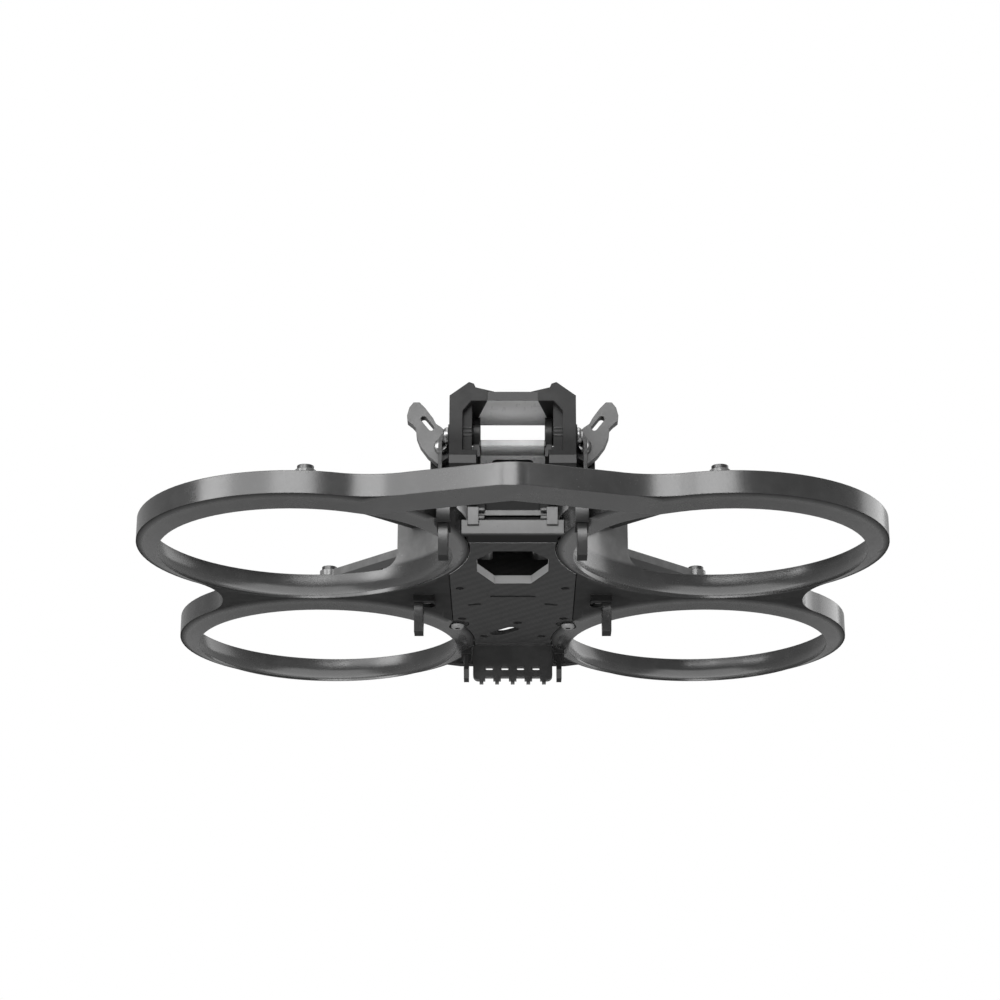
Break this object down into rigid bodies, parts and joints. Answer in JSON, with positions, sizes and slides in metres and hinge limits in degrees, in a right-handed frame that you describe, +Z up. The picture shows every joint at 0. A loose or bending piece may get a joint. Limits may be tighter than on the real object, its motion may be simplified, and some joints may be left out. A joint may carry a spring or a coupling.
{
  "type": "fpv racing drone frame",
  "caption": "Small ducted quadcopter frame: ring guards, carbon plates, camera cage with a tilting cradle, swinging antenna mounts and landing feet.",
  "frame": {"origin": "middle of the footprint at the level of the landing feet", "axes": "+Z up, -Y towards the nose, +X to the right seen from the nose"},
  "size_m": [0.1722, 0.1576, 0.0447],
  "materials": {
    "moulded_guard": "fine-grained moulded nylon with a soft sheen",
    "carbon": "satin carbon-fibre laminate, woven twill",
    "carbon_light": "glossy carbon-fibre laminate",
    "pad_rubber": "matt rubber",
    "post_alloy": "grey anodised alloy",
    "steel": "bright steel",
    "moulded_cage": "satin moulded nylon",
    "moulded_light": "light grey moulded nylon",
    "moulded_flex": "soft flexible moulded plastic",
    "strap_metal": "thin sheet metal, satin"
  },
  "bodies": {
    "airframe": {"ring_guard": "moulded_guard", "bottom_plate": "carbon", "arm_plate": "carbon", "battery_deck": "carbon_light", "battery_pad": "pad_rubber", "deck_posts": "post_alloy", "deck_screws": "steel", "post_screws": "steel", "cage_left": "moulded_cage", "cage_right": "moulded_cage", "cage_roof": "carbon_light", "cage_screws": "steel", "nose_block": "moulded_light", "antenna_bracket_left": "moulded_cage", "antenna_bracket_right": "moulded_cage", "antenna_screws": "steel", "strap_left": "strap_metal", "strap_right": "strap_metal", "foot_front_left": "moulded_guard", "foot_front_right": "moulded_guard", "foot_middle_left": "moulded_guard", "foot_middle_right": "moulded_guard", "tail_comb": "moulded_guard", "tail_cheek_left": "moulded_guard", "tail_cheek_right": "moulded_guard", "body_screws": "steel", "body_nuts": "steel", "arm_brace_front_left": "moulded_guard", "arm_brace_front_right": "moulded_guard", "arm_brace_rear_left": "moulded_guard", "arm_brace_rear_right": "moulded_guard", "pad_bushes": "post_alloy"},
    "camera_cradle": {"camera_cradle": "moulded_cage", "pivot_screw_left": "steel", "pivot_screw_right": "steel"},
    "antenna_left": {"antenna_mount_left": "moulded_flex"},
    "antenna_right": {"antenna_mount_right": "moulded_flex"}
  },
  "joints": [
    {"name": "camera_tilt", "type": "hinge", "parent": "airframe", "child": "camera_cradle", "pos_m": [0, -0.04385, 0.0336], "axis": [-1, 0, 0], "range_deg": [-10, 45]},
    {"name": "antenna_left_swing", "type": "hinge", "parent": "airframe", "child": "antenna_left", "pos_m": [-0.0164, -0.03544, 0.0335], "axis": [0, -1, 0], "range_deg": [-15, 40]},
    {"name": "antenna_right_swing", "type": "hinge", "parent": "airframe", "child": "antenna_right", "pos_m": [0.0164, -0.03544, 0.0335], "axis": [0, 1, 0], "range_deg": [-15, 40]}
  ]
}
